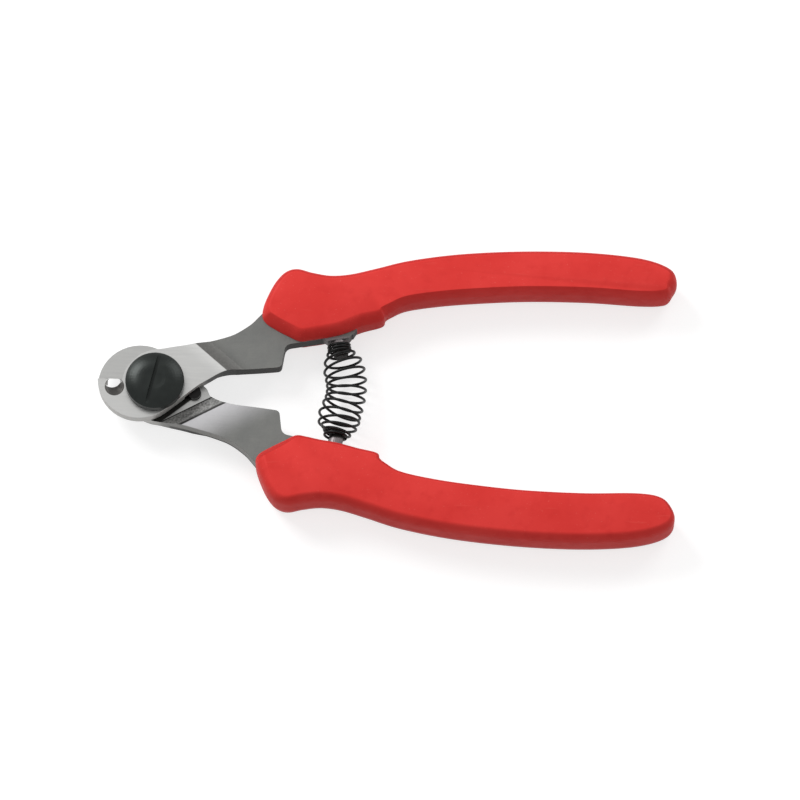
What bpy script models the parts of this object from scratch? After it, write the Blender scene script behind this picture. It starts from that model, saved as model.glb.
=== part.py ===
"""Cable cutter: two forged levers crossed on a bolt, moulded grips and a bowed return spring.

The origin is on the pivot axis, in the plane that the tool lies on. +X runs towards the grips
and +Z is up. The front lever carries the upper grip and the lower jaw, the back lever the rest.
Both levers are drawn in the same lever frame: X from the pivot, Y towards the lever's own grip,
Z up from the lap plane where the two meet. The back lever is turned half round about X.
"""

import math

import bmesh
import bpy
from mathutils import Vector

MM = 0.001
DEGREE = math.pi / 180.0

# Clearances
LAP_GAP = 0.2 * MM
FACE_GAP = 0.1 * MM
RUN_GAP = 0.1 * MM
FIT_GAP = 0.3 * MM

# Lever forging
HEAD_THICKNESS = 4.0 * MM
SHANK_THICKNESS = 5.0 * MM
EDGE_CHAMFER = 0.35 * MM
HEAD_RADIUS = 13.6 * MM
HEAD_FORWARD = 5.1 * MM
FRONT_HEAD_RISE = 1.5 * MM
BACK_HEAD_RISE = -0.6 * MM
BOSS_RADIUS = 10.7 * MM
SHOULDER_ANGLE = 50.0 * DEGREE
FOOT_ANGLE = 60.5 * DEGREE
FOOT_GAP = 1.75 * MM
FOOT_RUN = 5.0 * MM
FACE_RAMP_START = 18.9 * MM
FACE_RAMP_RUN = 4.0 * MM
CROTCH_RADIUS = 2.0 * MM

# Jaws
MOUTH_LINE = 1.1 * MM
TIP_GAP = 0.4 * MM
NOTCH_RADIUS = 3.0 * MM
NOTCH_INSET = 4.4 * MM
NOTCH_FORWARD = HEAD_FORWARD + HEAD_RADIUS - NOTCH_INSET
NOTCH_RISE = 2.4 * MM
NOTCH_LEAN = (0.30, -1.0)
ANVIL_WIDTH = 5.4 * MM
ANVIL_RISE = 2.3 * MM
ANVIL_CORNER = 0.8 * MM

# Pivot bolt, washer and nut
BOLT_HEAD_RADIUS = 9.54 * MM
BOLT_HEAD_SIDE = 3.0 * MM
BOLT_DOME = 1.7 * MM
BOLT_FLAT_RADIUS = 3.6 * MM
BOLT_DISH = 0.15 * MM
BOLT_RADIUS = 5.0 * MM
BOLT_END_RADIUS = 4.0 * MM
BOLT_PROUD = 0.3 * MM
SLOT_WIDTH = 1.1 * MM
SLOT_DEPTH = 1.25 * MM
SLOT_TILT = 78.4 * DEGREE
SLOT_SHIFT = 0.5 * MM
WASHER_RADIUS = 8.4 * MM
WASHER_THICKNESS = 0.8 * MM
NUT_FLATS = 14.0 * MM
NUT_THICKNESS = 2.2 * MM

# Closing stop
PIN_RADIUS = 2.2 * MM
PIN_ORBIT = 12.83 * MM
PIN_ANGLE = 8.1 * DEGREE
PIN_RISE = 1.6 * MM
PIN_DEPTH = 2.0 * MM
CLOSING_ANGLE = 17.0 * DEGREE
OPENING_ANGLE = 16.0 * DEGREE
STOP_MARGIN = 0.6 * DEGREE

# Grips
GRIP_THICKNESS = 15.0 * MM
FRONT_WAIST = 1.15 * MM
BACK_WAIST = -1.5 * MM
FRONT_PALM = 0.35 * MM
BACK_PALM = -0.6 * MM
TANG_COVER = 2.8 * MM

# Spring and its pegs
PEG_FORWARD = 58.8 * MM
PEG_RADIUS = 2.4 * MM
PEG_LENGTH = 5.5 * MM
PEG_TIP = 0.5 * MM
TAB_RISE = 0.9 * MM
TAB_HALF_WIDTH = 3.6 * MM
SPRING_WIRE = 0.9 * MM
SPRING_BODY_RADIUS = 6.2 * MM
SPRING_END_RADIUS = 3.5 * MM
SPRING_BOW = 3.4 * MM
SPRING_OPEN_TURNS = 9
SPRING_SWELL_TURNS = 1.2
SPRING_END_TURNS = 2
SPRING_END_PITCH = 1.15

LAP_HEIGHT = GRIP_THICKNESS / 2.0

# Knots of the outlines in millimetres, in the lever frame, from the pivot towards the far end
GRIP_PALM = [(34.0, 27.6), (35.6, 32.0), (38.0, 36.6), (41.0, 39.7), (44.8, 40.7), (49.6, 39.6),
             (55.5, 38.8), (62.0, 39.5), (70.0, 41.7), (81.0, 44.9), (97.0, 47.7), (116.0, 49.4),
             (135.0, 49.9), (150.0, 49.2), (160.0, 47.7), (166.8, 45.0)]
GRIP_END = [(169.6, 41.2), (168.7, 37.4)]
GRIP_FINGER = [(165.0, 34.6), (157.0, 33.9), (140.0, 34.5), (121.0, 34.2), (105.0, 33.0), (92.0, 31.5),
               (81.0, 29.35)]
GRIP_STEP = [(76.0, 26.7), (74.0, 25.1)]
GRIP_HEEL = [(72.9, 23.2), (66.5, 21.4)]
GRIP_GUARD = [(60.0, 19.1), (54.0, 17.8), (50.0, 17.0), (46.4, 16.5)]
GRIP_MOUTH = [(42.5, 18.1), (38.5, 20.1), (35.2, 22.2), (33.8, 24.4)]
SHANK_INNER = [(17.8, 2.3), (20.4, 4.0), (23.0, 5.2), (26.0, 5.9), (33.0, 6.6), (38.4, 7.2)]
SHANK_OUTER = [(34.6, 26.8), (32.4, 24.2), (29.8, 21.5), (25.0, 18.2), (20.0, 16.3), (15.0, 14.9),
               (10.0, 13.6), (5.0, 12.6), (1.7, 11.9), (-1.4, 11.4), (-5.0, 10.0)]
STRIP_CORNERS = [(40.7, 7.5), (41.8, 15.3)]
STRIP_END = (63.6, 19.6)
TANG_ROOT = (66.5, 24.5)

# How far a grip's edge is cut in from its outline and down from its face, and how flat the cut is
PALM_EDGE = (2.4, 5.0, 0.0)
END_EDGE = (1.8, 4.0, 0.0)
FRONT_FINGER_EDGE = (1.2, 5.4, 1.0)
FRONT_STEP_EDGE = (1.6, 5.0, 1.0)
FRONT_GUARD_EDGE = (3.2, 4.7, 0.8)
BACK_FINGER_EDGE = (1.4, 2.6, 0.0)
BACK_STEP_EDGE = (1.5, 2.4, 0.0)
BACK_GUARD_EDGE = (1.6, 2.4, 0.2)
MOUTH_EDGE = (2.8, 4.7, 1.0)
ROUND_CUT = [(0.0, 1.0), (0.134, 0.5), (0.5, 0.134), (1.0, 0.0)]
FLAT_CUT = [(0.0, 1.0), (0.42, 0.58), (0.84, 0.12), (1.0, 0.0)]
TANG_START = 49.0
TANG_END = 157.0
BLEND_ANGLE = 135.0 * DEGREE

ARC_STEP = 9.0 * DEGREE
CURVE_STEPS = 4


def clear_scene():
    """Empties the file of objects and of the materials they leave behind."""
    for old in list(bpy.data.objects):
        bpy.data.objects.remove(old, do_unlink=True)
    for old in list(bpy.data.materials):
        bpy.data.materials.remove(old)


def make_material(name, colour, roughness, metallic):
    """A plain Principled material."""
    material = bpy.data.materials.new(name)
    material.use_nodes = True
    shader = material.node_tree.nodes["Principled BSDF"]
    shader.inputs["Base Color"].default_value = (*colour, 1.0)
    shader.inputs["Roughness"].default_value = roughness
    shader.inputs["Metallic"].default_value = metallic
    material.diffuse_color = (*colour, 1.0)
    return material


def add_object(name, bm, material=None, turned=False, parent=None):
    """Turns a bmesh into an object on the pivot axis, turned half round about X for the back side."""
    bmesh.ops.recalc_face_normals(bm, faces=bm.faces)
    mesh = bpy.data.meshes.new(name)
    bm.to_mesh(mesh)
    bm.free()
    if material:
        mesh.materials.append(material)
    made = bpy.data.objects.new(name, mesh)
    bpy.context.scene.collection.objects.link(made)
    made.rotation_euler = (math.pi if turned else 0.0, 0.0, 0.0)
    if parent:
        made.parent = parent
    else:
        made.location = (0.0, 0.0, LAP_HEIGHT)
    return made


def as_tool(tool):
    """Marks an object as a hidden Boolean tool."""
    tool.hide_render = True
    tool.display_type = "WIRE"
    return tool


def boolean(target, tool, operation="DIFFERENCE"):
    """Adds an exact Boolean with a hidden tool."""
    modifier = target.modifiers.new(tool.name, "BOOLEAN")
    modifier.operation = operation
    modifier.solver = "EXACT"
    modifier.object = as_tool(tool)


def smooth_shading(made, angle=30.0 * DEGREE):
    """Smooth shading with sharp edges kept."""
    made.data.shade_smooth()
    made.data.set_sharp_from_angle(angle=angle)


def mm_points(knots):
    """Knots in millimetres as vectors in metres."""
    return [Vector((x * MM, y * MM)) for x, y in knots]


def arc(centre, radius, start, end):
    """Points along an arc, one every ARC_STEP."""
    count = max(2, math.ceil(abs(end - start) / ARC_STEP))
    points = []
    for i in range(count + 1):
        angle = start + (end - start) * i / count
        points.append(Vector((centre[0] + radius * math.cos(angle), centre[1] + radius * math.sin(angle))))
    return points


def smooth(knots, closed=False):
    """A Catmull-Rom curve through the knots."""
    count = len(knots)
    spans = count if closed else count - 1
    points = []
    for i in range(spans):
        if closed:
            a, b, c, d = (knots[(i + k) % count] for k in (-1, 0, 1, 2))
        else:
            b, c = knots[i], knots[i + 1]
            a = knots[i - 1] if i > 0 else b * 2.0 - c
            d = knots[i + 2] if i + 2 < count else c * 2.0 - b
        for step in range(CURVE_STEPS):
            t = step / CURVE_STEPS
            bend = (a * 2.0 - b * 5.0 + c * 4.0 - d) * t ** 2
            twist = (b * 3.0 - a - c * 3.0 + d) * t ** 3
            points.append(b + ((c - a) * t + bend + twist) * 0.5)
    if not closed:
        points.append(knots[-1].copy())
    return points


def rounded(before, corner, after, radius):
    """The arc that rounds one corner of an outline."""
    to_before = (before - corner).normalized()
    to_after = (after - corner).normalized()
    half = to_before.angle(to_after) / 2.0
    centre = corner + (to_before + to_after).normalized() * (radius / math.sin(half))
    first = corner + to_before * (radius / math.tan(half)) - centre
    last = corner + to_after * (radius / math.tan(half)) - centre
    sweep = first.angle_signed(last)
    count = max(2, math.ceil(abs(sweep) / (2.0 * ARC_STEP)))
    points = []
    for i in range(count + 1):
        turn = -sweep * i / count
        points.append(centre + Vector((first.x * math.cos(turn) - first.y * math.sin(turn),
                                       first.x * math.sin(turn) + first.y * math.cos(turn))))
    return points


def offset(points, distance):
    """A closed outline moved outwards by a distance, or by one distance for each point."""
    count = len(points)
    moved = []
    for i, point in enumerate(points):
        along = (points[(i + 1) % count] - points[i - 1]).normalized()
        outward = Vector((along.y, -along.x))
        amount = distance[i] if isinstance(distance, list) else distance
        moved.append(point + outward * amount)
    return moved


def prism(outline, low, high):
    """A straight prism over a closed outline."""
    return loft([[(p.x, p.y, low) for p in outline], [(p.x, p.y, high) for p in outline]])


def loft(rings):
    """A closed skin over rings of equal length, with a face on each end."""
    bm = bmesh.new()
    rows = [[bm.verts.new(place) for place in ring] for ring in rings]
    count = len(rows[0])
    for lower, upper in zip(rows, rows[1:]):
        for i in range(count):
            j = (i + 1) % count
            bm.faces.new((lower[i], lower[j], upper[j], upper[i]))
    bm.faces.new(list(reversed(rows[0])))
    bm.faces.new(rows[-1])
    return bm


def turned_profile(profile, segments=48):
    """A profile of (radius, height) pairs, first and last on the axis, spun about Z."""
    bm = bmesh.new()
    verts = [bm.verts.new((radius, 0.0, height)) for radius, height in profile]
    edges = [bm.edges.new(pair) for pair in zip(verts, verts[1:])]
    bmesh.ops.spin(bm, geom=verts + edges, cent=(0, 0, 0), axis=(0, 0, 1), angle=2.0 * math.pi,
                   steps=segments, use_merge=True)
    bmesh.ops.remove_doubles(bm, verts=bm.verts, dist=0.001 * MM)
    return bm


def cylinder(radius, low, high, centre=(0.0, 0.0), segments=48):
    """A round prism, mostly for bores."""
    step = 2.0 * math.pi / segments
    outline = [Vector((centre[0] + radius * math.cos(i * step), centre[1] + radius * math.sin(i * step)))
               for i in range(segments)]
    return prism(outline, low, high)


def grip_knots(palm, waist, finger_edge, step_edge, guard_edge):
    """A grip's knots, clockwise in the lever frame, and the cut of its edge at each of them."""
    zones = [(GRIP_PALM, PALM_EDGE, palm), (GRIP_END, END_EDGE, 0.0), (GRIP_FINGER, finger_edge, waist),
             (GRIP_STEP, step_edge, waist), (GRIP_HEEL, guard_edge, waist), (GRIP_GUARD, guard_edge, 0.0),
             (GRIP_MOUTH, MOUTH_EDGE, 0.0)]
    knots = []
    edges = []
    shifts = []
    for zone, edge, shift in zones:
        knots += mm_points(zone)
        edges += [Vector((edge[0] * MM, edge[1] * MM, edge[2]))] * len(zone)
        shifts += [shift] * len(zone)
    around = range(len(knots))
    after = [(i + 1) % len(knots) for i in around]
    eased = [(edges[i - 1] + edges[i] * 2.0 + edges[after[i]]) / 4.0 for i in around]
    rises = [(shifts[i - 1] + shifts[i] * 2.0 + shifts[after[i]]) / 4.0 for i in around]
    moved = [knots[i] + Vector((0.0, rises[i])) for i in around]
    return moved, eased


def strip_direction():
    """The way that the bare strip under a grip runs."""
    return (Vector(STRIP_END) - Vector(STRIP_CORNERS[1])).normalized()


def peg_base():
    """Where a spring peg leaves its tab, and the way it points."""
    along = strip_direction()
    start = Vector(STRIP_CORNERS[1]) * MM
    on_strip = start + along * ((PEG_FORWARD - start.x) / along.x)
    inward = Vector((along.y, -along.x))
    return on_strip + inward * TAB_RISE, inward


def edge_normal():
    """The outward normal of the straight edge between the head disc and the crotch."""
    return Vector((math.cos(SHOULDER_ANGLE), -math.sin(SHOULDER_ANGLE)))


def edge_distance(head_rise):
    """How far the straight edge between the head disc and the crotch lies from the pivot."""
    return HEAD_RADIUS + edge_normal().dot(Vector((-HEAD_FORWARD, head_rise)))


def lever_outline(head_rise, mouth_line):
    """The closed outline of a lever, counter-clockwise in the lever frame."""
    centre = Vector((-HEAD_FORWARD, head_rise))
    normal = edge_normal()
    tangent = centre + normal * HEAD_RADIUS
    crotch = Vector((edge_distance(head_rise) / normal.x, 0.0))
    inner = smooth(mm_points(SHANK_INNER))
    outline = rounded(tangent, crotch, inner[0], CROTCH_RADIUS) + inner

    low, high = mm_points(STRIP_CORNERS)
    strip_end = Vector(STRIP_END) * MM
    outline += rounded(inner[-1], low, high, 1.6 * MM)
    outline += rounded(low, high, strip_end, 2.4 * MM)

    along = strip_direction()
    base, inward = peg_base()
    for side in (-1, 1):
        foot = base + along * (side * (TAB_HALF_WIDTH + TAB_RISE)) - inward * TAB_RISE
        top = base + along * (side * TAB_HALF_WIDTH)
        outline += [foot, top] if side < 0 else [top, foot]
    outline.append(strip_end)

    cover = Vector((0.0, TANG_COVER))
    tang_inner = mm_points([TANG_ROOT])
    tang_inner += [p + cover for p in mm_points(reversed(GRIP_FINGER)) if p.x < TANG_END * MM]
    tang_outer = [p - cover for p in mm_points(reversed(GRIP_PALM)) if TANG_START * MM < p.x < TANG_END * MM]
    tip = (tang_inner[-1] + tang_outer[0]) / 2.0
    tip.x = TANG_END * MM
    outline += smooth(tang_inner + [tip] + tang_outer)
    outline += smooth(mm_points(SHANK_OUTER))

    outline += arc((0.0, 0.0), BOSS_RADIUS, BLEND_ANGLE, math.pi - math.asin(mouth_line / BOSS_RADIUS))
    start = math.pi - math.asin((mouth_line - head_rise) / HEAD_RADIUS)
    outline += arc(centre, HEAD_RADIUS, start, 2.0 * math.pi - SHOULDER_ANGLE)
    return outline


def foot_distance(facing_rise):
    """How far the foot of an underside's ramp lies from the pivot, clear of the head that it faces."""
    across = Vector((math.cos(FOOT_ANGLE), math.sin(FOOT_ANGLE)))
    out = Vector((math.cos(SHOULDER_ANGLE), math.sin(SHOULDER_ANGLE)))
    tangent = Vector((-HEAD_FORWARD, -facing_rise)) + out * HEAD_RADIUS
    return across.dot(tangent) + FOOT_GAP


def lever_levels(facing_rise):
    """For the top and the underside: the way the ramp runs, and its two stations with their heights."""
    half = SHANK_THICKNESS / 2.0
    foot = foot_distance(facing_rise)
    top_way = Vector((math.cos(SHOULDER_ANGLE), math.sin(SHOULDER_ANGLE), 0.0))
    foot_way = Vector((math.cos(FOOT_ANGLE), math.sin(FOOT_ANGLE), 0.0))
    top = (top_way, [(FACE_RAMP_START, HEAD_THICKNESS), (FACE_RAMP_START + FACE_RAMP_RUN, half)])
    underside = (foot_way, [(foot, LAP_GAP / 2.0), (foot + FOOT_RUN, -half)])
    return top, underside


def level_at(distance, stations):
    """Height at a distance from the pivot, eased between two stations."""
    (near, near_height), (far, far_height) = stations
    share = min(1.0, max(0.0, (distance - near) / (far - near)))
    return near_height + (far_height - near_height) * share


def make_lever(name, head_rise, mouth_line, facing_rise, material, turned, parent):
    """A lever: its outline cut along the shoulders, then stepped in height and chamfered."""
    bm = prism(lever_outline(head_rise, mouth_line), -1.0 * MM, 1.0 * MM)
    top, underside = lever_levels(facing_rise)
    for way, stations in (top, underside):
        for distance, height in stations:
            bmesh.ops.bisect_plane(bm, geom=list(bm.verts) + list(bm.edges) + list(bm.faces),
                                   plane_co=way * distance, plane_no=way, dist=0.0001 * MM)
    for vert in bm.verts:
        way, stations = top if vert.co.z > 0.0 else underside
        vert.co.z = level_at(vert.co.dot(way), stations)
    bmesh.ops.recalc_face_normals(bm, faces=bm.faces)
    rim = []
    for edge in bm.edges:
        steep = [abs(face.normal.z) < 0.1 for face in edge.link_faces]
        if len(steep) == 2 and steep[0] != steep[1]:
            rim.append(edge)
    bmesh.ops.bevel(bm, geom=rim, offset=EDGE_CHAMFER, segments=1, affect="EDGES", clamp_overlap=True)
    lever = add_object(name, bm, material, turned, parent)
    bore = cylinder(BOLT_RADIUS + RUN_GAP, -HEAD_THICKNESS, 2.0 * HEAD_THICKNESS)
    boolean(lever, add_object(name + "_bore", bore, turned=turned))
    boolean(lever, add_object(name + "_peg", peg(), turned=turned), "UNION")
    smooth_shading(lever)
    return lever


def peg():
    """A spring peg with a chamfered tip, square to the strip under the grip."""
    base, inward = peg_base()
    stations = [(-1.5 * MM, PEG_RADIUS), (PEG_LENGTH - PEG_TIP, PEG_RADIUS),
                (PEG_LENGTH, PEG_RADIUS - PEG_TIP)]
    rings = []
    for reach, radius in stations:
        centre = base + inward * reach
        ring = []
        for i in range(24):
            angle = 2.0 * math.pi * i / 24
            side = Vector((-inward.y, inward.x)) * (radius * math.cos(angle))
            ring.append((centre.x + side.x, centre.y + side.y, radius * math.sin(angle)))
        rings.append(ring)
    return loft(rings)


def leaning_cutter(shape, low, high):
    """A cutter over an outline given at the lap plane, leaning as it rises through the head."""
    rings = []
    for height in (low, high):
        rings.append([(p.x + NOTCH_LEAN[0] * height, p.y + NOTCH_LEAN[1] * height, height) for p in shape])
    return loft(rings)


def cut_front_mouth(lever):
    """The round notch of the lower jaw, ground back from its edge."""
    step = 2.0 * math.pi / 40
    shape = [Vector((-NOTCH_FORWARD + NOTCH_RADIUS * math.cos(i * step),
                     NOTCH_RISE + NOTCH_RADIUS * math.sin(i * step))) for i in range(40)]
    cutter = leaning_cutter(shape, -2.0 * MM, HEAD_THICKNESS + 1.0 * MM)
    boolean(lever, add_object("mouth_cutter_front", cutter))


def cut_back_mouth(lever):
    """The shallow flat notch of the upper jaw, ground back from its edge on the hidden side."""
    left = -NOTCH_FORWARD - ANVIL_WIDTH / 2.0
    right = -NOTCH_FORWARD + ANVIL_WIDTH / 2.0
    far = ANVIL_RISE + HEAD_RADIUS
    corners = [Vector((left, -ANVIL_RISE)), Vector((right, -ANVIL_RISE)),
               Vector((right, far)), Vector((left, far))]
    shape = rounded(corners[3], corners[0], corners[1], ANVIL_CORNER)
    shape += rounded(corners[0], corners[1], corners[2], ANVIL_CORNER)
    shape += corners[2:]
    cutter = leaning_cutter(shape, -2.0 * MM, HEAD_THICKNESS + 1.0 * MM)
    boolean(lever, add_object("mouth_cutter_back", cutter, turned=True))


def cut_stop_slot(lever):
    """The curved slot in the front lever's lap face that the stop pin runs in."""
    half = PIN_RADIUS + FIT_GAP
    end = CLOSING_ANGLE - PIN_ANGLE + STOP_MARGIN
    start = -PIN_ANGLE - OPENING_ANGLE - 20.0 * DEGREE
    centre = (PIN_ORBIT * math.cos(end), PIN_ORBIT * math.sin(end))
    outline = arc((0.0, 0.0), PIN_ORBIT + half, start, end)
    outline += arc(centre, half, end, end + math.pi)[1:-1]
    outline += arc((0.0, 0.0), PIN_ORBIT - half, end, start)
    boolean(lever, add_object("stop_slot_cutter", prism(outline, -1.0 * MM, PIN_RISE + FIT_GAP)))


def pin_place():
    """The stop pin's place in the back lever's own frame."""
    return PIN_ORBIT * math.cos(PIN_ANGLE), PIN_ORBIT * math.sin(PIN_ANGLE)


def make_stop_pin(material, lever):
    """The pin and the blind hole that holds it."""
    chamfer = 0.2 * MM
    depth = PIN_DEPTH - FACE_GAP
    profile = [(0.0, PIN_RISE), (PIN_RADIUS - chamfer, PIN_RISE), (PIN_RADIUS, PIN_RISE - chamfer),
               (PIN_RADIUS, chamfer - depth), (PIN_RADIUS - chamfer, -depth), (0.0, -depth)]
    bm = turned_profile(profile, 32)
    x, y = pin_place()
    bmesh.ops.translate(bm, verts=bm.verts, vec=(x, -y, 0.0))
    pin = add_object("stop_pin", bm, material)
    smooth_shading(pin)
    hole = cylinder(PIN_RADIUS + FACE_GAP, -1.0 * MM, PIN_DEPTH, (x, y), 32)
    boolean(lever, add_object("stop_hole_cutter", hole, turned=True))


def make_bolt(material):
    """The pivot bolt: a domed head with a dished middle and a slot, on a plain shank."""
    seat = HEAD_THICKNESS + FACE_GAP
    rim = seat + BOLT_HEAD_SIDE
    chamfer = 0.3 * MM
    top = rim + BOLT_DOME
    reach = BOLT_HEAD_RADIUS - chamfer - BOLT_FLAT_RADIUS
    profile = [(0.0, top - BOLT_DISH), (BOLT_FLAT_RADIUS * 0.7, top - BOLT_DISH * 0.6),
               (BOLT_FLAT_RADIUS, top)]
    for i in range(1, 7):
        share = i / 7.0
        profile.append((BOLT_FLAT_RADIUS + reach * share, top - BOLT_DOME * share ** 2.0))
    end = -bolt_end()
    profile += [(BOLT_HEAD_RADIUS - chamfer, rim), (BOLT_HEAD_RADIUS, rim - chamfer),
                (BOLT_HEAD_RADIUS, seat + chamfer), (BOLT_HEAD_RADIUS - chamfer, seat), (BOLT_RADIUS, seat),
                (BOLT_RADIUS, -HEAD_THICKNESS), (BOLT_END_RADIUS, -HEAD_THICKNESS),
                (BOLT_END_RADIUS, end + chamfer), (BOLT_END_RADIUS - chamfer, end), (0.0, end)]
    bolt = add_object("pivot_bolt", turned_profile(profile), material)
    smooth_shading(bolt)
    along = Vector((math.cos(SLOT_TILT), math.sin(SLOT_TILT)))
    side = Vector((-along.y, along.x)) * (SLOT_WIDTH / 2.0)
    middle = Vector((-SLOT_SHIFT, 0.0))
    far = along * (BOLT_HEAD_RADIUS + 2.0 * MM)
    outline = [middle - far - side, middle + far - side, middle + far + side, middle - far + side]
    cutter = prism(outline, top - SLOT_DEPTH, top + 2.0 * MM)
    boolean(bolt, add_object("slot_cutter", cutter))


def washer_top():
    """Depth of the washer's upper face under the lap plane."""
    return HEAD_THICKNESS + FACE_GAP


def nut_top():
    """Depth of the nut's upper face under the lap plane."""
    return washer_top() + WASHER_THICKNESS + FACE_GAP


def bolt_end():
    """Depth of the bolt's end face under the lap plane."""
    return nut_top() + NUT_THICKNESS + BOLT_PROUD


def make_ring(name, inner, outer, near, far, material):
    """A flat ring with chamfered outer edges, hung from the lap plane."""
    chamfer = 0.15 * MM
    bm = bmesh.new()
    profile = [(inner, -near), (outer - chamfer, -near), (outer, -near - chamfer),
               (outer, -far + chamfer), (outer - chamfer, -far), (inner, -far)]
    verts = [bm.verts.new((radius, 0.0, height)) for radius, height in profile]
    edges = [bm.edges.new((verts[i - 1], verts[i])) for i in range(len(verts))]
    bmesh.ops.spin(bm, geom=verts + edges, cent=(0, 0, 0), axis=(0, 0, 1), angle=2.0 * math.pi,
                   steps=48, use_merge=True)
    bmesh.ops.remove_doubles(bm, verts=bm.verts, dist=0.001 * MM)
    ring = add_object(name, bm, material)
    smooth_shading(ring)


def make_nut(material):
    """A thin hexagon nut with its corners turned down on the outer face."""
    corner = NUT_FLATS / 2.0 / math.cos(30.0 * DEGREE)
    hexagon = [Vector((corner * math.cos(i * 60.0 * DEGREE), corner * math.sin(i * 60.0 * DEGREE)))
               for i in range(6)]
    near, far = -nut_top(), -nut_top() - NUT_THICKNESS
    nut = add_object("pivot_nut", prism(hexagon, far, near), material)
    fall = 0.35 * MM
    flat = NUT_FLATS / 2.0 - 0.2 * MM
    wide = corner + 1.0 * MM
    cone = [(0.0, near + 1.0 * MM), (wide, near + 1.0 * MM),
            (wide, far + fall * (wide - flat) / (corner - flat)), (flat, far), (0.0, far)]
    boolean(nut, add_object("nut_turning", turned_profile(cone, 48)), "INTERSECT")
    bore = cylinder(BOLT_END_RADIUS + RUN_GAP, far - 1.0 * MM, near + 1.0 * MM)
    boolean(nut, add_object("nut_bore_cutter", bore))
    smooth_shading(nut)


def make_grip(name, lever_shape, grip_shape, material, turned, parent):
    """A grip: its outline lofted with cut edges, hollowed for the lever's tang."""
    knots, edges = grip_knots(*grip_shape)
    half = GRIP_THICKNESS / 2.0
    rings = []
    for side in (-1, 1):
        for k in range(4):
            step = k if side > 0 else 3 - k
            cuts = [Vector(ROUND_CUT[step]).lerp(Vector(FLAT_CUT[step]), edge.z) for edge in edges]
            inset = smooth(offset(knots, [edge.x * cut.x for edge, cut in zip(edges, cuts)]), closed=True)
            drops = smooth([Vector((edge.y * cut.y, 0.0)) for edge, cut in zip(edges, cuts)], closed=True)
            rings.append([(p.x, p.y, side * (half - drop.x)) for p, drop in zip(inset, drops)])
    grip = add_object(name, loft(rings), material, turned, parent)
    pocket_half = SHANK_THICKNESS / 2.0 + FIT_GAP
    pocket = prism(offset(lever_shape, FIT_GAP), -pocket_half, pocket_half)
    boolean(grip, add_object(name + "_pocket", pocket, turned=turned))
    smooth_shading(grip)


def make_spring(material):
    """The return spring: a barrel of open turns on a bowed axis, close turns round each peg."""
    base, inward = peg_base()
    pitch_end = SPRING_WIRE * SPRING_END_PITCH
    tilt = 2.0 * math.atan(SPRING_BOW / base.y) - math.asin(inward.x)
    lift = (SPRING_END_RADIUS + SPRING_WIRE / 2.0) * abs(math.sin(tilt))
    start = base + inward * (FIT_GAP + SPRING_WIRE / 2.0 + lift)
    bend = (start.y ** 2 + SPRING_BOW ** 2) / (2.0 * SPRING_BOW)
    centre_x = start.x + SPRING_BOW - bend
    half_angle = math.asin(start.y / bend)
    length = 2.0 * half_angle * bend
    turns = SPRING_OPEN_TURNS + 2 * SPRING_END_TURNS
    end_length = SPRING_END_TURNS * pitch_end
    steps = 14
    points = []
    for i in range(turns * steps + 1):
        turn = i / steps
        from_end = min(turn, turns - turn)
        if from_end <= SPRING_END_TURNS:
            along = from_end * pitch_end
        else:
            opened = (from_end - SPRING_END_TURNS) * (length - 2.0 * end_length) / SPRING_OPEN_TURNS
            along = end_length + opened
        if turn > turns / 2.0:
            along = length - along
        past_end = (from_end - SPRING_END_TURNS + SPRING_SWELL_TURNS / 2.0) / SPRING_SWELL_TURNS
        swell = min(1.0, max(0.0, past_end))
        swell = swell * swell * (3.0 - 2.0 * swell)
        radius = SPRING_END_RADIUS + (SPRING_BODY_RADIUS - SPRING_END_RADIUS) * swell
        angle = half_angle - along / bend
        reach = bend + radius * math.cos(2.0 * math.pi * turn)
        points.append((centre_x + reach * math.cos(angle), reach * math.sin(angle),
                       radius * math.sin(2.0 * math.pi * turn)))
    curve = bpy.data.curves.new("spring", "CURVE")
    curve.dimensions = "3D"
    curve.bevel_depth = SPRING_WIRE / 2.0
    curve.bevel_resolution = 2
    curve.use_fill_caps = True
    spline = curve.splines.new("POLY")
    spline.points.add(len(points) - 1)
    for knot, place in zip(spline.points, points):
        knot.co = (*place, 1.0)
    curve.materials.append(material)
    spring = bpy.data.objects.new("spring", curve)
    spring.location = (0.0, 0.0, LAP_HEIGHT)
    bpy.context.scene.collection.objects.link(spring)


def main():
    """Builds every piece of the tool."""
    clear_scene()
    steel = make_material("ground_steel", (0.52, 0.51, 0.50), 0.32, 1.0)
    black = make_material("black_oxide_steel", (0.03, 0.03, 0.03), 0.45, 0.6)
    red = make_material("red_grip", (0.68, 0.055, 0.05), 0.5, 0.0)

    pivot = bpy.data.objects.new("pivot", None)
    pivot.location = (0.0, 0.0, LAP_HEIGHT)
    bpy.context.scene.collection.objects.link(pivot)

    front_shape = (FRONT_HEAD_RISE, MOUTH_LINE - TIP_GAP / 2.0)
    back_shape = (BACK_HEAD_RISE, -MOUTH_LINE - TIP_GAP / 2.0)
    front = make_lever("front_lever", *front_shape, BACK_HEAD_RISE, steel, False, pivot)
    back = make_lever("back_lever", *back_shape, FRONT_HEAD_RISE, steel, True, None)
    cut_front_mouth(front)
    cut_back_mouth(back)
    cut_stop_slot(front)
    make_stop_pin(black, back)
    front_sleeve = (FRONT_PALM, FRONT_WAIST, FRONT_FINGER_EDGE, FRONT_STEP_EDGE, FRONT_GUARD_EDGE)
    back_sleeve = (BACK_PALM, BACK_WAIST, BACK_FINGER_EDGE, BACK_STEP_EDGE, BACK_GUARD_EDGE)
    make_grip("front_grip", lever_outline(*front_shape), front_sleeve, red, False, pivot)
    make_grip("back_grip", lever_outline(*back_shape), back_sleeve, red, True, None)
    make_bolt(black)
    make_ring("pivot_washer", BOLT_END_RADIUS + RUN_GAP, WASHER_RADIUS, washer_top(),
              washer_top() + WASHER_THICKNESS, black)
    make_nut(black)
    make_spring(black)


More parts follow.
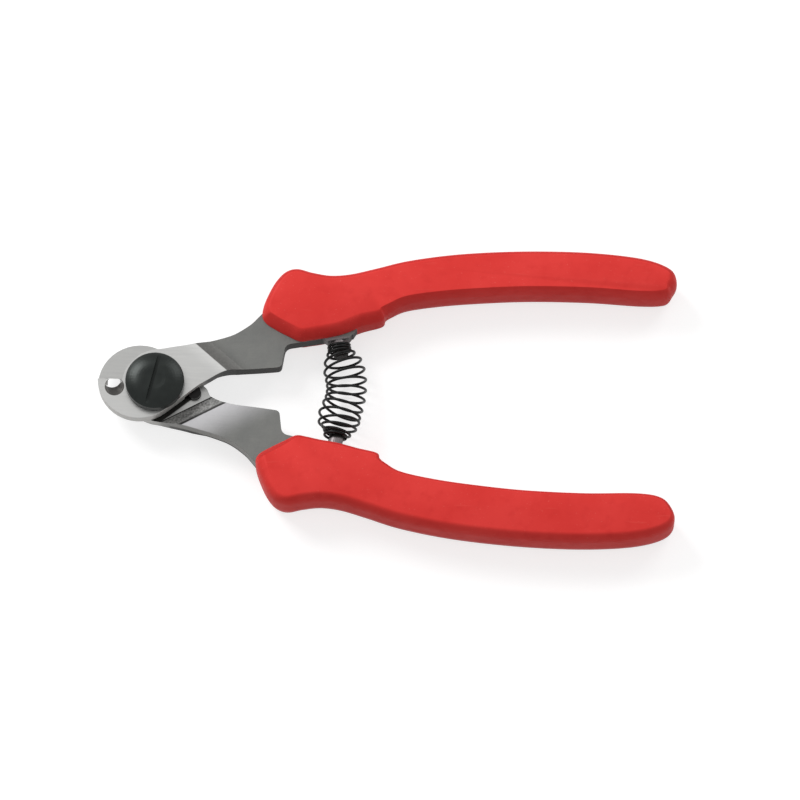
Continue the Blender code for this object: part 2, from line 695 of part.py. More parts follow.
main()
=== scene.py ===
# %% [markdown]
# # A one-hand cable cutter, dressed for its picture
#
# The shapes of this tool come from a CAD model: two forged levers cross on a slotted bolt, a coil spring
# pushes them open and a red moulded grip sits on each. Here the CAD model is loaded as a fixed frame, and
# Blender adds what the CAD leaves out: finely rounded grips, a true round wire in the spring, finishes,
# light and a camera. The scene is in metres, the tables of shapes are in millimetres and +Z is up.

import math

import bmesh
import bpy
from mathutils import Matrix, Vector


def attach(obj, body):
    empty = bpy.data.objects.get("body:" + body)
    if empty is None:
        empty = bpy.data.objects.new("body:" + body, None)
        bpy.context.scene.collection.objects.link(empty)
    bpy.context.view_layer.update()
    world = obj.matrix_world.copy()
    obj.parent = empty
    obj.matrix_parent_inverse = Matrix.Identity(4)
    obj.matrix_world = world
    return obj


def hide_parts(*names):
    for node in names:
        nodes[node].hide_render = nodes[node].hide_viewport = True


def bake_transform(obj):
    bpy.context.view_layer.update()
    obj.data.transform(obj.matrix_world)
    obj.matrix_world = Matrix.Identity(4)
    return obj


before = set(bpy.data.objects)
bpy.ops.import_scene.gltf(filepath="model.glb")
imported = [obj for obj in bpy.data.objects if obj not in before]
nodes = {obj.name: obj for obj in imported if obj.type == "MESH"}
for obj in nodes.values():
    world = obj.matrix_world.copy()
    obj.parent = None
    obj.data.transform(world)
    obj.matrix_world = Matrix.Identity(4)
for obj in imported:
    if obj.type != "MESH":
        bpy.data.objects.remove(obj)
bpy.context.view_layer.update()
print("CAD nodes:", ", ".join(sorted(nodes)))

# %% [markdown]
# ## Measures shared by the pieces
#
# The lap plane, where the two levers meet, is half a grip's thickness above the table. Each lever is drawn
# in its own lever frame: X runs from the pivot, Y towards the lever's own grip and Z up from the lap plane.
# The back lever is the same frame turned half round about X, so one function can place pieces on either.
# Grips and spring wire are both made by `skin_over`, which closes a mesh over rings of points.

# %% Measures
MM = 0.001
TO_MM = 1000.0
LAP_HEIGHT = 0.0075


def to_row(point, turned):
    """A point of the lever frame, in millimetres, in the row frame, in metres."""
    x, y, z = point
    if turned:
        y, z = -y, -z
    return Vector((x * MM, y * MM, z * MM + LAP_HEIGHT))


def skin_over(name, rings):
    """A closed smooth mesh over rings of points, with one face at each end."""
    bm = bmesh.new()
    rows = [[bm.verts.new(point) for point in ring] for ring in rings]
    count = len(rows[0])
    for lower, upper in zip(rows, rows[1:]):
        for i in range(count):
            bm.faces.new((lower[i], lower[(i + 1) % count], upper[(i + 1) % count], upper[i]))
    bm.faces.new(rows[0])
    bm.faces.new(rows[-1])
    bmesh.ops.recalc_face_normals(bm, faces=bm.faces)
    mesh = bpy.data.meshes.new(name)
    bm.to_mesh(mesh)
    bm.free()
    mesh.shade_smooth()
    made = bpy.data.objects.new(name, mesh)
    bpy.context.scene.collection.objects.link(made)
    return made


print("lap plane at", LAP_HEIGHT / MM, "mm")

# %% [markdown]
# ## Shader maths as plain sums
#
# A procedural finish is a small calculation: how far from the pivot, how rough, how dark. Node graphs hide
# that calculation, so this class wraps a node's output and lets Python's own signs build the Math nodes.
# `1.0 - mask` works too, because the reflected forms are there. Anything that isn't a sum, such as a noise
# or a mix, comes from `Finish.node`, which sets the node's options first and its sockets after.

# %% Finish and Socket


def tone(red, green, blue):
    """A screen colour, 0 to 255, as the linear colour that a shader wants."""
    linear = []
    for value in (red, green, blue):
        share = value / 255.0
        linear.append(share / 12.92 if share <= 0.04045 else ((share + 0.055) / 1.055) ** 2.4)
    return (*linear, 1.0)


class Socket:
    """A node's output that takes part in sums like a number."""

    def __init__(self, finish, output):
        self.finish = finish
        self.output = output

    def sum(self, operation, *values):
        return self.finish.node("Math", {"operation": operation}, dict(enumerate(values)))

    def __add__(self, other):
        return self.sum("ADD", self, other)

    def __sub__(self, other):
        return self.sum("SUBTRACT", self, other)

    def __rsub__(self, other):
        return self.sum("SUBTRACT", other, self)

    def __mul__(self, other):
        return self.sum("MULTIPLY", self, other)

    __radd__ = __add__

    def absolute(self):
        return self.sum("ABSOLUTE", self)

    def between(self, low, high):
        """0 below low, 1 above high and smooth between; low may also be the larger one."""
        flip = low > high
        inputs = {"Value": self, "From Min": min(low, high), "From Max": max(low, high),
                  "To Min": 1.0 if flip else 0.0, "To Max": 0.0 if flip else 1.0}
        return self.finish.node("MapRange", {"interpolation_type": "SMOOTHSTEP"}, inputs)


class Finish:
    """A material and the short ways to build its nodes."""

    def __init__(self, name):
        self.material = bpy.data.materials.new(name)
        self.material.use_nodes = True
        self.tree = self.material.node_tree
        self.shader = self.tree.nodes["Principled BSDF"]

    def node(self, kind, settings=None, inputs=None, output=0):
        """Any node: its settings first, then the values or links of its sockets."""
        made = self.tree.nodes.new("ShaderNode" + kind)
        for key, value in (settings or {}).items():
            setattr(made, key, value)
        for key, value in (inputs or {}).items():
            self.feed(made.inputs[key], value)
        return Socket(self, made.outputs[output])

    def feed(self, target, value):
        if isinstance(value, Socket):
            self.tree.links.new(value.output, target)
        else:
            target.default_value = value

    def mix(self, share, first, second):
        """One colour going over into another; a Mix node has its colours at sockets 6 and 7."""
        return self.node("Mix", {"data_type": "RGBA"}, {0: share, 6: first, 7: second}, 2)

    def parts(self, vector):
        """A vector as its three numbers."""
        split = self.node("SeparateXYZ", inputs={0: vector}).output.node
        return [Socket(self, split.outputs[i]) for i in range(3)]

    def place(self):
        """The point on the piece, in metres, as a vector and as three numbers."""
        point = self.node("TexCoord", output="Object")
        return point, self.parts(point)

    def facing(self):
        """The surface's own direction as three numbers, in the row frame at rest."""
        return self.parts(self.node("TexCoord", output="Normal"))

    def length(self, x, y):
        """How far a point given by two numbers is from zero."""
        flat = self.node("CombineXYZ", inputs={"X": x, "Y": y})
        return self.node("VectorMath", {"operation": "LENGTH"}, {0: flat}, "Value")

    def noise(self, point, scale, detail=3.0, roughness=0.55, stretch=None):
        """Fractal noise from 0 to 1; stretch squeezes the point first, for streaks."""
        if stretch:
            point = self.node("Mapping", inputs={"Vector": point, "Scale": stretch})
        inputs = {"Vector": point, "Scale": scale, "Detail": detail, "Roughness": roughness}
        return self.node("TexNoise", inputs=inputs)

    def bump(self, height, strength, distance):
        return self.node("Bump", inputs={"Height": height, "Strength": strength, "Distance": distance})

    def set(self, **values):
        """Sockets of the shader by name, with an underscore for each space."""
        for key, value in values.items():
            self.feed(self.shader.inputs[key.replace("_", " ")], value)
        return self.material


def dress(piece, material):
    """Gives a piece one material."""
    piece.data.materials.clear()
    piece.data.materials.append(material)


print("shader helpers ready")

# %% [markdown]
# ## Red moulded grips
#
# The sleeves are moulded in a satin red plastic. Up close it isn't one red: the colour drifts a little,
# faint rubs run along the handle, and fine pale specks sit in the surface. Bump from a fine noise breaks
# the highlight into the soft sheen of a moulded skin. A painted reflection of the white table pales the red
# towards the foot of the palm walls, and painted shade darkens it where the far edge rounds away. Noise on
# object coordinates needs no unwrapping.

# %% Grip finish
# Among these tones, the pale pink for the foot is a painted reflection of the white table and the deep red
# for the far edge is painted shade
GRIP_TONES = {"deep": tone(214, 55, 51), "fresh": tone(221, 62, 58), "cloud": tone(204, 49, 46),
              "rub": tone(226, 84, 76), "speck": tone(236, 128, 118), "foot": tone(236, 150, 152),
              "far_edge_shade": tone(150, 26, 26)}

# Where masks go over from 0 to 1: the palm's painted reflection in metres, the far edge's painted shade as
# shares of the surface's direction
PALM_REFLECTION_HEIGHTS = (0.0060, 0.0025)
PALM_SIDE = (0.010, 0.030)
OFF_THE_FACE = (0.96, 0.88)
OFF_THE_WALL = (0.30, 0.55)
FAR_SIDE = (0.1, 0.4)


def grip_finish():
    red = Finish("grip_red")
    point, (_, y, z) = red.place()
    drift = red.noise(point, 55.0, 3.0)
    cloud = red.noise(point, 260.0, 4.0)
    rubs = red.noise(point, 900.0, 2.0, 0.5, (0.12, 1.0, 1.0)).between(0.66, 0.78)
    specks = red.noise(point, 2100.0, 1.0, 0.4).between(0.72, 0.80)
    colour = red.mix(drift.between(0.3, 0.7), GRIP_TONES["deep"], GRIP_TONES["fresh"])
    colour = red.mix(cloud.between(0.45, 0.8) * 0.5, colour, GRIP_TONES["cloud"])
    colour = red.mix(rubs * 0.22, colour, GRIP_TONES["rub"])
    colour = red.mix(specks * 0.30, colour, GRIP_TONES["speck"])
    facing = red.facing()
    # Painted reflection of the white table, paling the red at the foot of the palm walls
    palm_table_reflection = z.between(*PALM_REFLECTION_HEIGHTS) * (facing[1] * y).between(*PALM_SIDE)
    colour = red.mix(palm_table_reflection * 0.55, colour, GRIP_TONES["foot"])
    # Painted shade where the far edge rounds away from the face
    upright = facing[2].absolute()
    rounding = upright.between(*OFF_THE_FACE) * upright.between(*OFF_THE_WALL)
    far_edge_shade_mask = rounding * facing[1].between(*FAR_SIDE)
    colour = red.mix(far_edge_shade_mask * 0.42, colour, GRIP_TONES["far_edge_shade"])
    grain = red.noise(point, 3200.0, 3.0)
    height = grain * 0.6 + rubs * 0.4
    return red.set(Base_Color=colour, Roughness=0.42 + cloud * 0.16, Specular_IOR_Level=0.08,
                   Normal=red.bump(height, 0.12, 0.0004))


GRIP_RED = grip_finish()
print("made", GRIP_RED.name)

# %% [markdown]
# ## The grips' shape
#
# A grip is a loft: one outline seen from above, repeated as rings from its lower face to its upper one.
# Near each face the rings draw in, and how they draw in changes along the outline. Along the palm the edge
# is a soft round. Round the mouth it is an almost flat slope, as if cut with a knife, over the finger guard
# it is a flatter round, and along the fingers it is the slight draft that lets a moulding leave its mould.
# A superellipse covers them all. The two sleeves share one outline. They differ by small shifts, at the far
# end and by their inner edges.

# %% Grip outline
PALM = [(34.0, 27.6), (35.6, 32.0), (38.0, 36.6), (41.0, 39.7), (44.8, 40.7), (49.6, 39.6), (55.5, 38.8),
        (62.0, 39.5), (70.0, 41.7), (81.0, 44.9), (97.0, 47.7), (116.0, 49.4), (135.0, 49.9), (150.0, 49.2),
        (160.0, 47.7), (166.8, 45.0)]
FINGER = [(165.0, 34.6), (157.0, 33.9), (140.0, 34.5), (121.0, 34.2), (105.0, 33.0), (92.0, 31.5),
          (81.0, 29.35)]
STEP = [(76.0, 26.7), (74.0, 25.1)]
HEEL = [(72.9, 23.2), (66.5, 21.4)]
GUARD = [(60.0, 19.1), (54.0, 17.8), (50.0, 17.0), (46.4, 16.5)]
MOUTH = [(42.5, 18.1), (38.5, 20.1), (35.2, 22.2), (33.8, 24.4)]
GRIP_HALF = 7.5

# An edge is how far it is cut in and down, in millimetres, and how flat the cut is
PALM_EDGE = (2.4, 5.0, 0.0)
MOUTH_EDGE = (2.8, 4.7, 1.0)

# A sleeve is the sideways shift of its palm and of its waist, the knots of its far end, and its own edges
UPPER_SLEEVE = {"palm": 0.35, "waist": 1.15,
                "tip": [(168.7, 41.3), (167.5, 37.7)], "end": (3.6, 7.0, 0.0),
                "finger": (1.3, 5.4, 0.6), "step": (1.6, 5.0, 1.0), "guard": (3.2, 4.7, 0.5)}
LOWER_SLEEVE = {"palm": -0.6, "waist": -1.5,
                "tip": [(169.6, 41.2), (168.7, 37.4)], "end": (1.8, 4.0, 0.0),
                "finger": (1.4, 2.6, 0.0), "step": (1.5, 2.4, 0.0), "guard": (1.6, 2.4, 0.2)}


def eased(values):
    """Each value drawn a little towards its two neighbours round a closed loop."""
    count = len(values)
    return [(values[i - 1] + values[i] * 2.0 + values[(i + 1) % count]) / 4.0 for i in range(count)]


def curve_through(knots, steps):
    """A closed Catmull-Rom curve through knots of any length."""
    count = len(knots)
    points = []
    for i in range(count):
        a, b, c, d = (knots[(i + k) % count] for k in (-1, 0, 1, 2))
        for step in range(steps):
            t = step / steps
            square = a * 2.0 - b * 5.0 + c * 4.0 - d
            cube = b * 3.0 - a - c * 3.0 + d
            pull = (c - a) * t + square * t ** 2 + cube * t ** 3
            points.append(b + pull * 0.5)
    return points


def grip_knots(sleeve):
    """Knots round a grip and, at each, the cut's depth, drop and flatness."""
    palm, waist = sleeve["palm"], sleeve["waist"]
    zones = [(PALM, PALM_EDGE, palm), (sleeve["tip"], sleeve["end"], 0.0), (FINGER, sleeve["finger"], waist),
             (STEP, sleeve["step"], waist), (HEEL, sleeve["guard"], waist), (GUARD, sleeve["guard"], 0.0),
             (MOUTH, MOUTH_EDGE, 0.0)]
    knots = [Vector(knot) for zone in zones for knot in zone[0]]
    cuts = [Vector(zone[1]) for zone in zones for _ in zone[0]]
    shifts = [zone[2] for zone in zones for _ in zone[0]]
    return [k + Vector((0.0, s)) for k, s in zip(knots, eased(shifts))], eased(cuts)


print(len(grip_knots(UPPER_SLEEVE)[0]), "knots round a grip")

# %% Grip loft

# The gap kept inside the CAD, in millimetres, how strongly an edge's flatness works, how many steps lie
# between two knots and how many rings make an edge
SKIN = 0.04
FLATTENING = 0.85
GRIP_STEPS = 8
GRIP_ROUNDS = 8
CREASE = math.radians(40.0)


def inset_ring(knots, depths, steps):
    """The outline drawn in by a depth at each knot, and by the skin that keeps it inside the CAD."""
    count = len(knots)
    moved = []
    for i, knot in enumerate(knots):
        along = (knots[(i + 1) % count] - knots[i - 1]).normalized()
        moved.append(knot + Vector((along.y, -along.x)) * (depths[i] + SKIN))
    return curve_through(moved, steps)


def grip_rings(knots, cuts, steps, rounds):
    """Rings from the lower face to the upper one."""
    rings = []
    for side in (-1, 1):
        for k in range(rounds + 1):
            turn = math.pi / 2.0 * (k if side > 0 else rounds - k) / rounds
            shares = []
            for cut in cuts:
                power = 2.0 / (2.0 - FLATTENING * cut.z)
                shares.append((1.0 - max(0.0, math.cos(turn)) ** power, 1.0 - math.sin(turn) ** power))
            depths = [cut.x * share[0] for cut, share in zip(cuts, shares)]
            falls = [Vector((cut.y * share[1], 0.0)) for cut, share in zip(cuts, shares)]
            ring = inset_ring(knots, depths, steps)
            drops = curve_through(falls, steps)
            rings.append([(p.x, p.y, side * (GRIP_HALF - SKIN - drop.x)) for p, drop in zip(ring, drops)])
    return rings


def make_grip(name, node, sleeve, turned, body):
    """The fine grip that stands for a CAD grip."""
    knots, cuts = grip_knots(sleeve)
    rings = grip_rings(knots, cuts, GRIP_STEPS, GRIP_ROUNDS)
    grip = skin_over(name, [[to_row(point, turned) for point in ring] for ring in rings])
    grip.data.set_sharp_from_angle(angle=CREASE)
    dress(grip, GRIP_RED)
    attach(grip, body)
    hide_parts(node)
    print(name, "has", len(grip.data.polygons), "faces")


make_grip("upper_grip", "front_grip", UPPER_SLEEVE, False, "front_half")
make_grip("lower_grip", "back_grip", LOWER_SLEEVE, True, "back_half")

# %% [markdown]
# ## Forged steel levers
#
# A lever is one forging with several finishes. Round the pivot it is ground flat and bright, with fine
# lines. Past a crisp edge it drops over a short dark ramp to the satin shank. On the lap side the ramp lies
# at a steeper angle, just clear of the other lever's head, and the shank behind it is lighter near the ramp
# and fades to satin. The walls are light round the head; along the shank they are painted shade, lighter
# on the outer walls with a painted reflection. The graph needs only the distance from the pivot, across each
# ramp, and the way the surface faces.

# %% Steel finish
TOP_ANGLE = math.radians(50.0)
TOP_RAMP = (18.9, 22.9)
FOOT_ANGLE = math.radians(60.5)
FOOT_RUN = 5.0
FOOT_START = {"front_lever": 13.13, "back_lever": 11.31}

# The notch, whose walls get painted shade, the pegs and the painted shade at the foot of the walls, in
# metres; the lean is for each metre of height
NOTCH = (-0.0143, 0.0024)
NOTCH_LEAN = (0.3, -1.0)
NOTCH_RADIUS = 0.0031
NOTCH_RIM = 0.0001
PEG_FRONT = (0.0535, 0.0545)
PEG_ROOT = (0.0189, 0.0185)
PEG_TIP = (0.0156, 0.0162)
WALL_FOOT = (0.0064, 0.0054)

# Mask limits in millimetres: most from the pivot, the fade past the top ramp, the painted shade lines from a
# foot's ends
TOP_FADE = 3.0
SHANK_FADE = (15.0, 28.0)
HEAD_WALL = (8.0, 13.0)
WALL_FOOT_REACH = (12.5, 13.5)
WORN = (14.0, 20.0)
# Where the painted shadow of the other lever's plate edge lies on the lap face
PLATE_SHADOW = {"near": (8.0, 8.8), "far": (10.9, 10.4), "side": (9.6, 8.8)}
START_LINE = (0.6, 0.3)
END_LINE = (1.4, 0.6)

# Each tone of the steel drifts between a darker and a lighter colour. The scale tone is painted shade on
# walls, lines, the plate's shadow and the peg; the outer walls' tone is a painted reflection and the notch's
# tone painted shade
GROUND = {"front_lever": ((174, 174, 173), (188, 188, 186)),
          "back_lever": ((160, 160, 159), (174, 174, 172))}
STEEL = {"satin": ((96, 97, 96), (114, 114, 111)), "bright": ((166, 165, 167), (180, 179, 181)),
         "ramp": ((62, 62, 61), (98, 97, 95)), "foot_ramp": ((92, 92, 91), (158, 158, 156)),
         "head_wall": ((166, 165, 163), (196, 195, 192)), "scale": ((18, 18, 17), (48, 47, 46)),
         "outer_wall_reflection": ((112, 112, 110), (150, 149, 146)), "peg": ((98, 94, 95), (130, 124, 125)),
         "notch": ((48, 46, 45), (90, 87, 84))}


def lever_finish(name, side):
    """The finish of one lever; side is 1 where its grip is at +Y and -1 where it is at -Y."""
    steel = Finish(name + "_steel")

    def drifting(share, tones):
        dark, light = tones
        return steel.mix(share, tone(*dark), tone(*light))

    point, (x, y, z) = steel.place()
    facing = steel.facing()
    up = facing[2] * side
    own = y * side
    reach = (x * math.cos(TOP_ANGLE) + own * math.sin(TOP_ANGLE)) * TO_MM
    lap_reach = (x * math.cos(FOOT_ANGLE) + own * math.sin(FOOT_ANGLE)) * TO_MM
    foot = FOOT_START[name]
    foot_end = foot + FOOT_RUN
    cloud = steel.noise(point, 180.0, 4.0)
    lines = steel.noise(point, 1500.0, 2.0, 0.6, (0.06, 1.0, 0.3))
    pits = steel.noise(point, 1300.0, 4.0, 0.7)

    ground = drifting(lines, GROUND[name])
    satin = drifting(cloud, STEEL["satin"])
    bright = drifting(cloud, STEEL["bright"])
    ramp = drifting(pits, STEEL["ramp"])
    foot_ramp = drifting(pits.between(0.3, 0.7), STEEL["foot_ramp"])
    head_wall = drifting(pits, STEEL["head_wall"])
    scale = drifting(pits, STEEL["scale"])
    outer_wall_reflection = drifting(pits, STEEL["outer_wall_reflection"])
    peg_grey = drifting(cloud, STEEL["peg"])

    # The outer side: ground, a crisp edge, the ramp, then satin
    top = steel.mix(reach.between(TOP_RAMP[0] - 0.2, TOP_RAMP[0] + 0.1), ground, ramp)
    top = steel.mix(reach.between(TOP_RAMP[0] + 0.8, TOP_RAMP[1] + TOP_FADE), top, satin)

    # The lap side: ground with a painted shadow of the other lever's plate edge, a steeper ramp between two
    # lines of painted shade, then the shank
    shank = steel.mix(lap_reach.between(*SHANK_FADE), bright, satin)
    sideways = (x * math.sin(TOP_ANGLE) - own * math.cos(TOP_ANGLE)) * TO_MM
    plate_shadow = reach.between(*PLATE_SHADOW["near"]) * reach.between(*PLATE_SHADOW["far"]) * sideways.between(*PLATE_SHADOW["side"])
    lap = steel.mix(plate_shadow, ground, scale)
    foot_shade_line = lap_reach.between(foot + START_LINE[0], foot + START_LINE[1])
    foot_ramp = steel.mix(foot_shade_line, foot_ramp, scale)
    top_shade_line = lap_reach.between(foot_end - END_LINE[0], foot_end - END_LINE[1])
    foot_ramp = steel.mix(top_shade_line, foot_ramp, scale)
    lap = steel.mix(lap_reach.between(foot - 0.1, foot + 0.2), lap, foot_ramp)
    lap = steel.mix(lap_reach.between(foot_end - 0.3, foot_end), lap, shank)
    flat = steel.mix(up.between(-0.3, 0.3), lap, top)
    on_foot_ramp = lap_reach.between(foot, foot + 0.3) * lap_reach.between(foot_end, foot_end - 0.3)
    rough_lap = on_foot_ramp * up.between(0.3, -0.3)

    # The walls: light round the head, painted shade on the inner walls of the shank, a lighter painted
    # reflection on its outer walls, and painted shade at the foot of the walls past the head
    outer = (facing[1] * side).between(-0.2, 0.2)
    wall = steel.mix(reach.between(*HEAD_WALL), head_wall, steel.mix(outer, scale, outer_wall_reflection))
    wall = steel.mix(z.between(*WALL_FOOT) * reach.between(*WALL_FOOT_REACH), wall, scale)
    rim = facing[2].absolute().between(0.62, 0.45)
    colour = steel.mix(rim, flat, wall)
    # Inside the mouth's notch the colour goes over to painted shade
    if name == "front_lever":
        height = z - LAP_HEIGHT
        across = x - height * NOTCH_LEAN[0] - NOTCH[0]
        along = y - height * NOTCH_LEAN[1] - NOTCH[1]
        notch_shade_mask = steel.length(across, along).between(NOTCH_RADIUS + NOTCH_RIM, NOTCH_RADIUS)
        colour = steel.mix(notch_shade_mask, colour, drifting(pits, STEEL["notch"]))
    # Round the spring's peg: painted shade on the peg, and the tab's own grey nearer the grip
    on_peg = x.between(*PEG_FRONT) * own.between(*PEG_ROOT)
    colour = steel.mix(on_peg, colour, steel.mix(own.between(*PEG_TIP), scale, peg_grey))

    worn = reach.between(*WORN)
    roughness = 0.26 + worn * 0.14 + pits * 0.10 + rim * 0.18
    relief = lines * 0.5 + pits * worn * 0.8
    return steel.set(Base_Color=colour, Metallic=1.0 - rim * 0.5 - rough_lap * 0.6, Roughness=roughness,
                     Normal=steel.bump(relief, 0.18, 0.0003))


dress(nodes["front_lever"], lever_finish("front_lever", 1))
dress(nodes["back_lever"], lever_finish("back_lever", -1))
print("levers dressed")

# %% [markdown]
# ## Blackened bolt, nut, washer and pin
#
# These are turned parts with a black oxide skin. The oxide is thin, so it is a dark metal and not a paint.
# Turning leaves rings round the axis, which catch light in two soft fans. The rings are a fine noise of the
# distance from the pivot axis, used as bump.

# %% Black oxide


def oxide_finish(name, dark, light):
    oxide = Finish(name)
    point, (x, y, _) = oxide.place()
    cloud = oxide.noise(point, 300.0, 4.0)
    outwards = oxide.node("CombineXYZ", inputs={"X": oxide.length(x, y)})
    rings = oxide.noise(outwards, 3200.0, 2.0)
    colour = oxide.mix(cloud, tone(*dark), tone(*light))
    return oxide.set(Base_Color=colour, Metallic=0.55, Roughness=0.26 + cloud * 0.12,
                     Specular_IOR_Level=0.35, Normal=oxide.bump(rings, 0.10, 0.0002))


BLACK_OXIDE = oxide_finish("black_oxide", (20, 24, 23), (38, 42, 40))
for name in ("pivot_bolt", "pivot_washer", "pivot_nut"):
    dress(nodes[name], BLACK_OXIDE)
# The stop pin gets a darker oxide than the other black parts
dress(nodes["stop_pin"], oxide_finish("darker_oxide", (8, 7, 7), (20, 18, 18)))
print("black parts dressed")

# %% [markdown]
# ## The return spring
#
# The spring has about eight open turns. At each end it tapers over a few turns to tight ones on a peg, and
# it is a little too long for the gap, so it bows towards the grips. A hand-set coil isn't an even helix, so
# a table says where the wire is after each whole turn, and a smooth curve through the table fills in the
# rest.

# %% Spring wire


def wire_finish():
    wire = Finish("spring_black")
    point, _ = wire.place()
    cloud = wire.noise(point, 900.0, 3.0)
    colour = wire.mix(cloud, tone(14, 15, 15), tone(34, 35, 35))
    return wire.set(Base_Color=colour, Metallic=0.6, Roughness=0.30 + cloud * 0.2,
                    Specular_IOR_Level=0.3)


SPRING_BLACK = wire_finish()

# The upper end of the coil's axis and the wire's thickness, in millimetres
PEG_TOP = Vector((58.97, 17.85))
WIRE = 0.88
WIRE_SIDES = 12
WIRE_TIP = 0.6
STEPS_A_TURN = 36

# After each whole turn, in millimetres: how far the wire is down the line between the pegs, how far the
# coil's axis has bowed off that line, and the coil's radius; the first and the last row only guide the curve
COIL = [(0.6, 0.10, 3.5), (1.5, 0.15, 3.5), (2.4, 0.25, 3.5), (3.4, 0.40, 3.6), (4.9, 0.70, 4.7),
        (7.7, 1.50, 6.2), (10.8, 2.40, 6.5), (13.7, 3.00, 6.4), (16.5, 3.15, 6.3), (19.2, 2.95, 6.3),
        (21.8, 2.40, 6.4), (24.4, 1.55, 6.6), (27.0, 1.05, 6.7), (29.3, 0.90, 5.9), (30.9, 0.50, 4.6),
        (32.0, 0.20, 3.7), (32.9, 0.10, 3.5), (33.8, 0.00, 3.5)]


def spring_line(steps):
    """The wire's centreline in millimetres, in the row frame with z from the lap plane."""
    curve = curve_through([Vector(row) for row in COIL], steps)
    rows = curve[steps:(len(COIL) - 2) * steps + 1]
    points = []
    for i, (along, bow, radius) in enumerate(rows):
        before, after = rows[max(i - steps // 2, 0)], rows[min(i + steps // 2, len(rows) - 1)]
        ahead = Vector((after.y - before.y, before.x - after.x)).normalized()
        turn = 2.0 * math.pi * i / steps
        across = Vector((-ahead.y, ahead.x)) * (radius * math.cos(turn))
        centre = Vector((PEG_TOP.x + bow, PEG_TOP.y - along))
        points.append(Vector((centre.x + across.x, centre.y + across.y, radius * math.sin(turn))))
    return points


def sweep(name, line, radius, sides):
    """A round wire with slimmer tips along a line."""
    rings = []
    up = Vector((0.0, 0.0, 1.0))
    for i, point in enumerate(line):
        ahead = (line[min(i + 1, len(line) - 1)] - line[max(i - 1, 0)]).normalized()
        first = ahead.cross(up).normalized()
        up = first.cross(ahead).normalized()
        slim = WIRE_TIP if i in (0, len(line) - 1) else 1.0
        ring = []
        for k in range(sides):
            angle = 2.0 * math.pi * k / sides
            spoke = first * math.cos(angle) + up * math.sin(angle)
            ring.append(point + spoke * radius * slim)
        rings.append(ring)
    return skin_over(name, rings)


line = [Vector((p.x * MM, p.y * MM, p.z * MM + LAP_HEIGHT)) for p in spring_line(STEPS_A_TURN)]
coil = sweep("return_spring", line, WIRE * MM / 2.0, WIRE_SIDES)
dress(coil, SPRING_BLACK)
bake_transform(coil)
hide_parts("spring")
print("spring wire is", round(sum((b - a).length for a, b in zip(line, line[1:])) * TO_MM), "mm long")

# %% [markdown]
# ## Table, light and camera
#
# The picture has a plain white ground. The table is a pale surface that glows a little for the camera and
# for reflections only, so it reads as white without putting extra light on the tool, and it still keeps
# the tool's shadow. Two large soft lamps light from above and behind, which leaves the walls that face the
# camera darker, as the picture has them.

# %% Table
TABLE_RADIUS = 6.0
BLACK = (0.0, 0.0, 0.0, 1.0)
WHITE = (1.0, 1.0, 1.0, 1.0)


def table_finish():
    pale = Finish("table_white")
    path = pale.node("LightPath").output.node
    seen = Socket(pale, path.outputs["Is Camera Ray"])
    mirrored = Socket(pale, path.outputs["Is Glossy Ray"])
    through = Socket(pale, path.outputs["Is Transmission Ray"])
    glow = pale.mix(seen + mirrored + through, BLACK, WHITE)
    return pale.set(Base_Color=tone(176, 176, 176), Roughness=0.9, Specular_IOR_Level=0.1,
                    Emission_Color=glow, Emission_Strength=0.70)


def make_table():
    bm = bmesh.new()
    bmesh.ops.create_circle(bm, cap_ends=True, segments=96, radius=TABLE_RADIUS)
    mesh = bpy.data.meshes.new("table")
    bm.to_mesh(mesh)
    bm.free()
    table = bpy.data.objects.new("table", mesh)
    bpy.context.scene.collection.objects.link(table)
    dress(table, table_finish())


make_table()
print("table made")

# %% World and lamps
WORLD_LIGHT = (0.5, 0.5, 0.5, 1.0)
MIDDLE = (0.08, 0.0, 0.0)


def make_world():
    """A grey world for light that is white to the camera, in mirrors and through glass."""
    world = bpy.data.worlds.new("studio")
    world.use_nodes = True
    tree = world.node_tree
    back = tree.nodes["Background"]
    path = tree.nodes.new("ShaderNodeLightPath")
    total = path.outputs["Is Camera Ray"]
    for name in ("Is Glossy Ray", "Is Transmission Ray"):
        both = tree.nodes.new("ShaderNodeMath")
        both.operation = "MAXIMUM"
        tree.links.new(total, both.inputs[0])
        tree.links.new(path.outputs[name], both.inputs[1])
        total = both.outputs[0]
    shade = tree.nodes.new("ShaderNodeMix")
    shade.data_type = "RGBA"
    shade.inputs[6].default_value = WORLD_LIGHT
    shade.inputs[7].default_value = WHITE
    tree.links.new(total, shade.inputs[0])
    tree.links.new(shade.outputs[2], back.inputs["Color"])
    bpy.context.scene.world = world


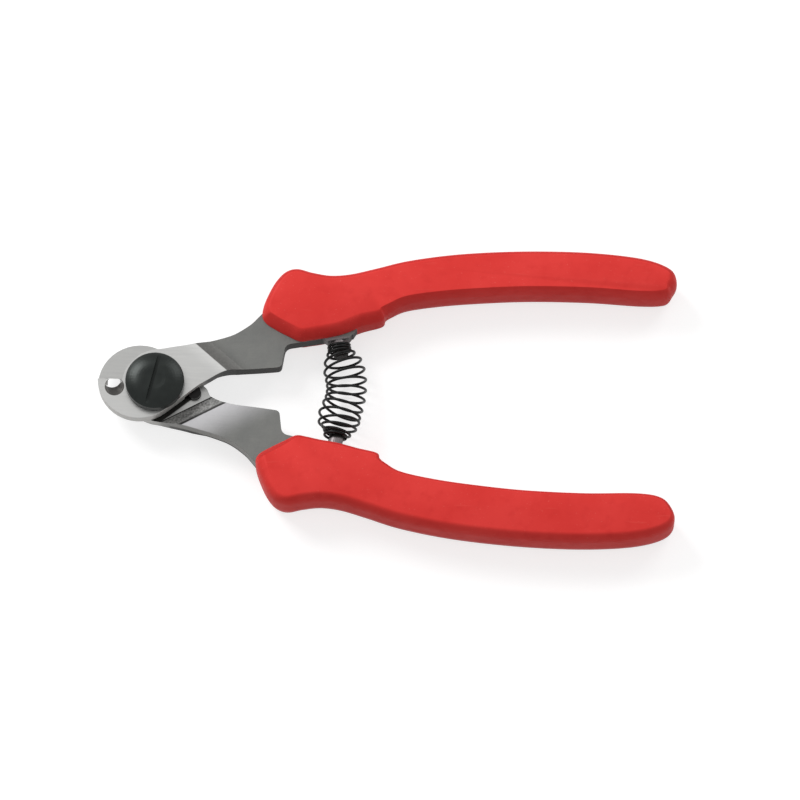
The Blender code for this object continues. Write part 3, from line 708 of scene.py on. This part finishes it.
def lamp(name, place, target, size, watts):
    """A square soft lamp pointing at a target."""
    data = bpy.data.lights.new(name, "AREA")
    data.shape = "SQUARE"
    data.size = size
    data.energy = watts
    made = bpy.data.objects.new(name, data)
    made.location = place
    made.rotation_mode = "QUATERNION"
    made.rotation_quaternion = (Vector(target) - Vector(place)).to_track_quat("-Z", "Y")
    bpy.context.scene.collection.objects.link(made)


make_world()
lamp("key", place=(-0.75, 0.75, 0.85), target=MIDDLE, size=0.6, watts=12.5)
lamp("fill", place=(0.75, 0.9, 0.8), target=MIDDLE, size=0.6, watts=4.0)
print("lit by two lamps and a pale world")

# %% [markdown]
# ## The camera
#
# The picture looks down on the tool from its lower side, 19 degrees off the vertical, and the tool is
# turned 2.1 degrees clockwise in it. A long lens two metres away gives the slight growth of the nearer
# handle. The camera stands where a straight line through the middle of the picture says.

# %% Camera
MM_A_PIXEL = 0.325
PIXELS = 800
PIVOT_PIXEL = (155.3, 387.0)
LEAN = math.radians(19.0)
TURN = math.radians(2.1)
DISTANCE = 2.0
SENSOR = 36.0


def make_camera():
    right = Vector((math.cos(TURN), math.sin(TURN), 0.0))
    ahead = Vector((-math.sin(TURN), math.cos(TURN), 0.0))
    across = (PIXELS / 2.0 - PIVOT_PIXEL[0]) * MM_A_PIXEL * MM
    rise = (PIVOT_PIXEL[1] - PIXELS / 2.0) * MM_A_PIXEL * MM / math.cos(LEAN)
    target = right * across + ahead * rise + Vector((0.0, 0.0, LAP_HEIGHT))
    back = Vector((0.0, 0.0, math.cos(LEAN))) - ahead * math.sin(LEAN)
    up = ahead * math.cos(LEAN) + Vector((0.0, 0.0, math.sin(LEAN)))
    data = bpy.data.cameras.new("camera")
    data.sensor_width = SENSOR
    data.lens = SENSOR * DISTANCE / (PIXELS * MM_A_PIXEL * MM)
    data.clip_start = 0.1
    data.clip_end = 20.0
    camera = bpy.data.objects.new("camera", data)
    turn = Matrix((right, up, back)).transposed().to_4x4()
    camera.matrix_world = Matrix.Translation(target + back * DISTANCE) @ turn
    bpy.context.scene.collection.objects.link(camera)
    bpy.context.scene.camera = camera
    print("camera at", [round(v, 3) for v in camera.location])


make_camera()
bpy.context.scene.view_settings.view_transform = "Standard"
